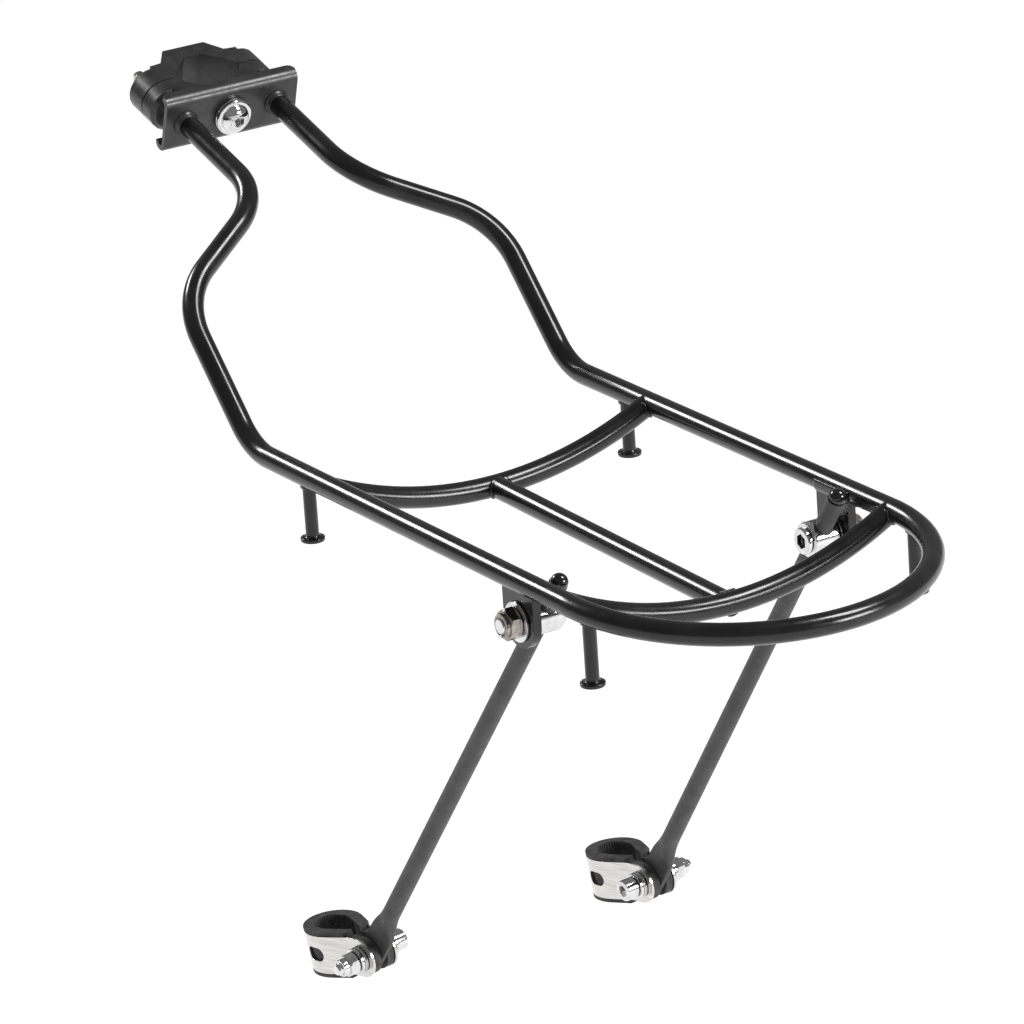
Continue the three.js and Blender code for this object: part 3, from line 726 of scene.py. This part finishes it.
# Rounds the two ends of the plate's rolled lip.
def roundLip(plate):
    size = plateCorners
    edit(plate)
    bpy.ops.mesh.select_mode(type="EDGE")
    bpy.ops.mesh.select_all(action="DESELECT")
    leaveEdit()
    found = 0
    for edge in plate.data.edges:
        first, second = (plate.data.vertices[index].co for index in edge.vertices)
        atEnd = min(abs(first.y), abs(second.y)) > size["fromMiddle"] * mm
        difference = abs((first - second).length - size["sheet"] * mm)
        acrossSheet = difference < size["sheetTolerance"] * mm
        edge.select = atEnd and acrossSheet and first.dot(upAxis) > size["aboveMiddle"] * mm
        found += edge.select
    bpy.ops.object.mode_set(mode="EDIT")
    bpy.ops.mesh.bevel(
        offset=size["radius"] * mm, segments=size["segments"], affect="EDGES",
    )
    leaveEdit()
    print("lip corners rounded:", found)


def clampHalves():
    for half, body in (("Rear", "carrier"), ("Front", "clamp_cap")):
        solid = f"clamp_{half.lower()}_half"
        casting = smooth(refined(solid, 0.9, segments=4), 40)
        fix(casting, f"clamp{half}Half", body, "clamp_casting", solid)
    plate = smooth(refined("bracket_plate", 0.45, shape=roundLip), 30)
    fix(plate, "bracketPlate", "carrier", "bracket_enamel", "bracket_plate")


def clampFasteners():
    size = clampSizes
    for side, direction in sides.items():
        place = onClamp(0, direction * size["boltOffset"], size["boltHeight"])
        seat, end = size["headSeat"], size["threadEnd"]
        top = seat + m6["headHeight"]
        radius, head = m6["radius"], m6["head"]
        threadStart = -size["nutSeat"] - size["threadLength"]
        bolt = turned([
            (0, end), (m6["tip"], end),
            *threadRidges(radius, end + 0.4, threadStart, m6["pitch"]),
            (radius, threadStart + 0.5), (radius, seat), (head - 0.15, seat),
            (head, seat + 0.2), (head, top - 0.8), (head - 0.2, top - 0.25),
            (head - 0.7, top), (0, top),
        ], place, leanAxis)
        cutSocket(bolt, place, leanAxis, m6["key"], seat + 3, top + 1)
        fix(smooth(bolt), side + "ClampBolt", "carrier", "chrome", f"clamp_bolt_{side}")
        nut = hexNut(m6["width"], m6["height"], m6["nutHole"], place, -leanAxis, size["nutSeat"])
        name = side + "ClampNut"
        fix(smooth(nut), name, "clamp_cap", "chrome", f"clamp_nut_{side}", finish=darkNut)


bracketBoltSizes = {
    "washer": 1.5, "rise": 0.3, "start": 15.5, "head": 9, "headHeight": 1.5, "shoulder": 8.2,
    "dome": 7, "domeHeight": 4.4, "domeStop": 81, "domeStep": 8, "key": 5, "steps": 64,
}


def bracketBolt():
    size = bracketBoltSizes
    place = onClamp(0, 0, clampSizes["bracketBoltHeight"])
    face = clampSizes["plateFace"]
    spacer = washer(
        m8["washerRadius"], m8["washerHole"], size["washer"], place, leanAxis, face + gap,
    )
    fix(smooth(spacer), "bracketWasher", "carrier", "chrome", "bracket_washer")
    seat = face + gap + size["washer"] + size["rise"]
    crown = seat + size["headHeight"]
    top = crown + size["domeHeight"]
    head, dome, start = size["head"], size["dome"], size["start"]
    bolt = turned([
        (0, start), (m8["radius"], start), (m8["radius"], seat), (head - 0.15, seat),
        (head, seat + 0.15), (head, crown - 0.5), (head - 0.3, crown - 0.15),
        (size["shoulder"], crown), (dome + 0.25, crown),
        *domeCurve(dome, size["domeHeight"], crown, size["domeStop"], size["domeStep"]),
        (0, top),
    ], place, leanAxis, steps=size["steps"])
    cutSocket(bolt, place, leanAxis, size["key"], crown + 1, crown + 6)
    softenEdges(bolt, 0.15, segments=2, angle=50)
    fix(smooth(bolt), "bracketBolt", "carrier", "chrome", "bracket_bolt")


eyeSizes = {
    "inner": 64.25, "outer": 77, "barrel": 8, "strut": 4.25, "strutRoom": 0.25, "bore": 3.3,
    "boreReach": 20, "tabOuter": 82.8, "washer": 1.2, "nutHeight": 5.6, "collar": 5.6,
    "collarHeight": 1.8, "screwTip": 4.6, "screwKey": 6, "steps": 64,
}
# The lock screw's head: radius, and distance outward from the barrel's inner end.
lockScrewHead = [
    (0, -2.6), (5.2, -2.6), (5.8, -2.4), (6, -2), (6, -0.7), (5.7, -0.3), (3, -0.3),
]


def eyebolt(side, direction):
    body = f"{side}_eyebolt"
    hinge = Vector(joints[f"{side}_strut_pivot"]["pos_m"])
    place = Vector((hinge.x, 0, hinge.z))
    axis = Vector((0, direction, 0))
    size = eyeSizes
    offset = abs(hinge.y) / mm
    inner, outer, barrel = size["inner"], size["outer"], size["barrel"]
    radius = m8["radius"]
    nutSeat = size["tabOuter"] + size["washer"] + 2 * gap
    end = nutSeat + m8["height"] + 2 * gap
    threadStart = nutSeat + 5
    bolt = turned([
        (0, inner), (barrel - 1.1, inner), (barrel - 0.3, inner + 0.3), (barrel, inner + 1),
        (barrel, outer - 0.9), (barrel - 0.25, outer - 0.3), (barrel - 0.9, outer),
        (radius, outer), (radius, threadStart),
        *threadRidges(radius, threadStart, end - 0.3, m8["pitch"]), (m8["tip"], end), (0, end),
    ], place, axis, steps=size["steps"])
    combine(bolt, rod(place, axis, size["bore"], inner - 2, offset), "DIFFERENCE")
    slide = Vector(joints[f"{side}_strut_slide"]["axis"])
    reach = size["boreReach"]
    strutBore = rod(hinge, slide, size["strut"] + size["strutRoom"], -reach, reach)
    combine(bolt, strutBore, "DIFFERENCE")
    softenEdges(bolt, 0.3, segments=2, angle=45)
    fix(smooth(bolt), side + "Eyebolt", body, "chrome", f"eyebolt_{side}")
    head = [(across, inner + along) for across, along in lockScrewHead]
    tip = offset - size["screwTip"]
    screw = turned([*head, (m6["radius"], tip), (0, tip)], place, axis)
    cutSocket(screw, place, axis, size["screwKey"], inner - 4, inner + 3)
    softenEdges(screw, 0.15, segments=2, angle=50)
    fix(smooth(screw), side + "LockScrew", body, "chrome", f"lock_screw_{side}")
    for name, seat in (("Inner", outer), ("Outer", size["tabOuter"])):
        spacer = washer(
            m8["washerRadius"], m8["washerHole"], size["washer"], place, axis, seat + gap,
        )
        solid = f"{name.lower()}_washer_{side}"
        fix(smooth(spacer), f"{side}{name}Washer", body, "chrome", solid)
    nut = hexNut(
        m8["width"], size["nutHeight"], m8["nutHole"], place, axis, nutSeat,
        size["collar"], size["collarHeight"],
    )
    name = side + "LockNut"
    fix(smooth(nut), name, body, "chrome", f"lock_nut_{side}", finish=darkNut)


plugSizes = {
    "radius": 3.8, "dome": 3.95, "domeHeight": 3.9, "domeStop": 85, "domeStep": 7,
    "stem": 2.85, "stemLength": 11, "rim": 0.3,
}


def strut(side):
    tube = refined(f"strut_{side}", 0.35, angle=38)
    fix(smooth(tube, 38), side + "Strut", f"{side}_strut", "strut_coating", f"strut_{side}")
    slide = Vector(joints[f"{side}_strut_slide"]["axis"])
    hinge = Vector(joints[f"{side}_strut_pivot"]["pos_m"])
    size = plugSizes
    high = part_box(f"strut_plug_{side}")[1].z
    base = (high - hinge.z) / slide.z / mm - size["domeHeight"]
    foot, rim = base - size["stemLength"], base - size["rim"]
    plug = turned([
        (0, foot), (size["stem"], foot), (size["stem"], rim), (size["radius"], rim),
        *domeCurve(size["dome"], size["domeHeight"], base, size["domeStop"], size["domeStep"]),
        (0, base + size["domeHeight"]),
    ], hinge, slide)
    name = side + "StrutPlug"
    fix(smooth(plug, 50), name, f"{side}_strut", "plug_plastic", f"strut_plug_{side}")


clipSizes = {
    "ringCentre": 26, "halfLength": 15.2, "halfWidth": 12.2, "linerHalfHeight": 11,
    "earFace": 7.1, "washer": 1.6, "washerRadius": 6.2, "collar": 4.1, "collarHeight": 3,
    "threadBeyond": 2.2, "pitch": 7, "ribs": 30, "ribRadius": 0.45, "ribFacets": 10,
    "ribEdge": 0.15, "ribInset": 4.7, "ribEndGap": 0.4, "ribStart": 50, "ribSweep": 260,
}
strutAngles = {
    "left": {"lean": 38.2, "splay": 0.6, "twist": 10},
    "right": {"lean": 36.4, "splay": 0.25, "twist": 5.5},
}


# The clip's own axes: X to the rear, Y along its bolt and Z up the seat stay.
def clipFrame(side, direction):
    angles = {name: math.radians(value) for name, value in strutAngles[side].items()}
    upright = -math.atan(math.tan(angles["lean"]) * math.cos(angles["twist"]))
    pitch = upright - math.radians(clipSizes["pitch"])
    turns = (
        ("X", direction * angles["splay"]), ("Y", angles["lean"]), ("Z", angles["twist"]),
        ("Y", pitch),
    )
    frameOfClip = Matrix.Translation(Vector(joints[f"{side}_clip_pivot"]["pos_m"]))
    for axis, angle in turns:
        frameOfClip = frameOfClip @ Matrix.Rotation(angle, 4, axis)
    return frameOfClip


def clipStrap(side):
    body = f"{side}_clip"
    band = smooth(refined(f"clip_band_{side}", 0.3, angle=40), 40)
    fix(band, side + "ClipBand", body, "clip_strap", f"clip_band_{side}")
    liner = smooth(refined(f"clip_liner_{side}", 0.5, angle=40), 40)
    fix(liner, side + "ClipLiner", body, "clip_rubber", f"clip_liner_{side}")


# Upright ribs inside the liner, each copied from the first.
def linerRibs(side, direction):
    size = clipSizes
    length, width = size["halfLength"] - size["ribInset"], size["halfWidth"] - size["ribInset"]
    height = size["linerHalfHeight"] - size["ribEndGap"]
    frameOfClip = clipFrame(side, direction)
    first = rod(
        at(0, 0, 0), (0, 0, 1), size["ribRadius"], -height, height, facets=size["ribFacets"],
    )
    softenEdges(first, size["ribEdge"], segments=2)
    ribs = []
    for index in range(size["ribs"]):
        share = index / (size["ribs"] - 1)
        angle = math.radians(size["ribStart"] + size["ribSweep"] * share)
        across = at(length * math.cos(angle) - size["ringCentre"], width * math.sin(angle), 0)
        pick(first)
        bpy.ops.object.duplicate()
        rib = bpy.context.object
        rib.matrix_world = frameOfClip @ Matrix.Translation(across)
        ribs.append(rib)
    bpy.data.objects.remove(first)
    deselect()
    for rib in ribs:
        rib.select_set(True)
    bpy.context.view_layer.objects.active = ribs[0]
    bpy.ops.object.join()
    piece = smooth(settle(bpy.context.object), 50)
    fix(piece, side + "LinerRibs", f"{side}_clip", "clip_rubber")


def clipFasteners(side, direction):
    size = clipSizes
    body = f"{side}_clip"
    hinge = joints[f"{side}_clip_pivot"]
    place = Vector(hinge["pos_m"])
    axis = Vector(hinge["axis"]) * direction
    face, pitch = size["earFace"], size["washer"] + gap
    headSeat = -face - 2 * pitch - gap
    headEnd = headSeat - m6["headHeight"]
    nutSeat = face + 2 * pitch + gap
    threadStart = nutSeat + m6["height"]
    end = threadStart + size["collarHeight"] + size["threadBeyond"]
    radius, head = m6["radius"], m6["head"]
    bolt = turned([
        (0, headEnd), (head - 0.7, headEnd), (head - 0.2, headEnd + 0.25), (head, headEnd + 0.8),
        (head, headSeat - 0.2), (head - 0.15, headSeat), (radius, headSeat),
        (radius, threadStart), *threadRidges(radius, threadStart, end - 0.3, m6["pitch"]),
        (m6["tip"], end), (0, end),
    ], place, axis)
    cutSocket(bolt, place, axis, m6["key"], headEnd - 1, headEnd + 3)
    softenEdges(bolt, 0.12, segments=2, angle=50)
    fix(smooth(bolt), side + "ClipBolt", body, "chrome", f"clip_bolt_{side}")
    seats = {
        "Head": -face - 2 * pitch, "Inner": -face - pitch, "Ear": face + gap,
        "Nut": face + gap + pitch,
    }
    for name, start in seats.items():
        spacer = washer(
            size["washerRadius"], m6["washerHole"], size["washer"], place, axis, start,
        )
        solid = f"clip_{name.lower()}_washer_{side}"
        fix(smooth(spacer), f"{side}Clip{name}Washer", body, "chrome", solid)
    nut = hexNut(
        m6["width"], m6["height"], m6["nutHole"], place, axis, nutSeat,
        size["collar"], size["collarHeight"],
    )
    fix(smooth(nut), side + "ClipNut", body, "chrome", f"clip_nut_{side}")


centreBar()
frameWelds()
for row in crossTubes:
    for side in sides:
        peg(row, side)
print("frame welded")
clampHalves()
clampFasteners()
bracketBolt()
print("seatpost clamp made")
for side, direction in sides.items():
    strutTab(side)
    eyebolt(side, direction)
    strut(side)
    clipStrap(side)
    linerRibs(side, direction)
    clipFasteners(side, direction)
print("struts and clips made")

studioLooks = {
    "floorSize": 12, "floorDrop": 0.15, "floorGlow": 0.9, "fill": 0.22, "backdrop": 1,
    "middle": (0.32, 0, -0.1),
}
lights = {
    "railLight": {"place": (-1.3, -0.6, 0.95), "width": 0.6, "depth": 0.36, "power": 18},
    "loopLight": {"place": (0.95, 0.85, 1.35), "width": 0.45, "depth": 0.6, "power": 20},
    "cameraSide": {"place": (2.0, 1.0, 0.35), "width": 0.7, "depth": 0.5, "power": 24},
}


def floorPlane():
    looks = studioLooks
    place = (0, 0, cadBox[0][2] - looks["floorDrop"])
    deselect()
    bpy.ops.mesh.primitive_plane_add(size=looks["floorSize"], location=place)
    floor = bpy.context.object
    floor.name = "floor"
    floorFinish = newFinish("palePaper", (0.25, 0.25, 0.25), 0.8, specular=0.1)
    mixColours(floorFinish, grain(floorFinish, 8), (0.24, 0.24, 0.24), (0.26, 0.26, 0.26))
    paper = floorFinish.node_tree.nodes["Principled BSDF"]
    paper.inputs["Emission Color"].default_value = (1, 1, 1, 1)
    paper.inputs["Emission Strength"].default_value = looks["floorGlow"]
    floor.data.materials.append(floorFinish)


def lamps():
    for name, light in lights.items():
        bpy.ops.object.light_add(type="AREA", location=light["place"])
        lamp = bpy.context.object
        lamp.name = name
        lamp.data.shape = "RECTANGLE"
        lamp.data.size = light["width"]
        lamp.data.size_y = light["depth"]
        lamp.data.energy = light["power"]
        aim = Vector(studioLooks["middle"]) - Vector(light["place"])
        lamp.rotation_euler = aim.to_track_quat("-Z", "Y").to_euler()


# The camera sees a white backdrop, and the part is lit by a dimmer fill.
def surroundings():
    world = bpy.data.worlds.new("studioWorld")
    world.use_nodes = True
    bpy.context.scene.world = world
    fill = world.node_tree.nodes["Background"]
    fill.inputs["Color"].default_value = (1, 1, 1, 1)
    fill.inputs["Strength"].default_value = studioLooks["fill"]
    backdrop = node(
        world, "ShaderNodeBackground", Color=(1, 1, 1, 1), Strength=studioLooks["backdrop"],
    )
    path = node(world, "ShaderNodeLightPath")
    choice = node(world, "ShaderNodeMixShader")
    link(world, path.outputs["Is Camera Ray"], choice.inputs[0])
    link(world, fill.outputs[0], choice.inputs[1])
    link(world, backdrop.outputs[0], choice.inputs[2])
    link(world, choice.outputs[0], world.node_tree.nodes["World Output"].inputs["Surface"])


cameraView = {
    "place": (2.760263, -1.501586, 0.904413), "right": (0.531903, 0.844426, -0.063437),
    "down": (0.254019, -0.230572, -0.939314), "forward": (-0.807808, 0.483510, -0.337143),
    "lens": 245.95, "sensor": 36, "farthest": 20,
}


def camera():
    view = cameraView
    right, down, forward = (Vector(view[name]) for name in ("right", "down", "forward"))
    axes = Matrix((right, -down, -forward)).transposed()
    bpy.ops.object.camera_add(location=view["place"])
    made = bpy.context.object
    made.rotation_euler = axes.to_euler()
    made.data.lens = view["lens"]
    made.data.sensor_width = view["sensor"]
    made.data.clip_end = view["farthest"]
    bpy.context.scene.camera = made


floorPlane()
lamps()
surroundings()
camera()
bpy.context.scene.view_settings.view_transform = "Standard"
print("studio and camera placed")
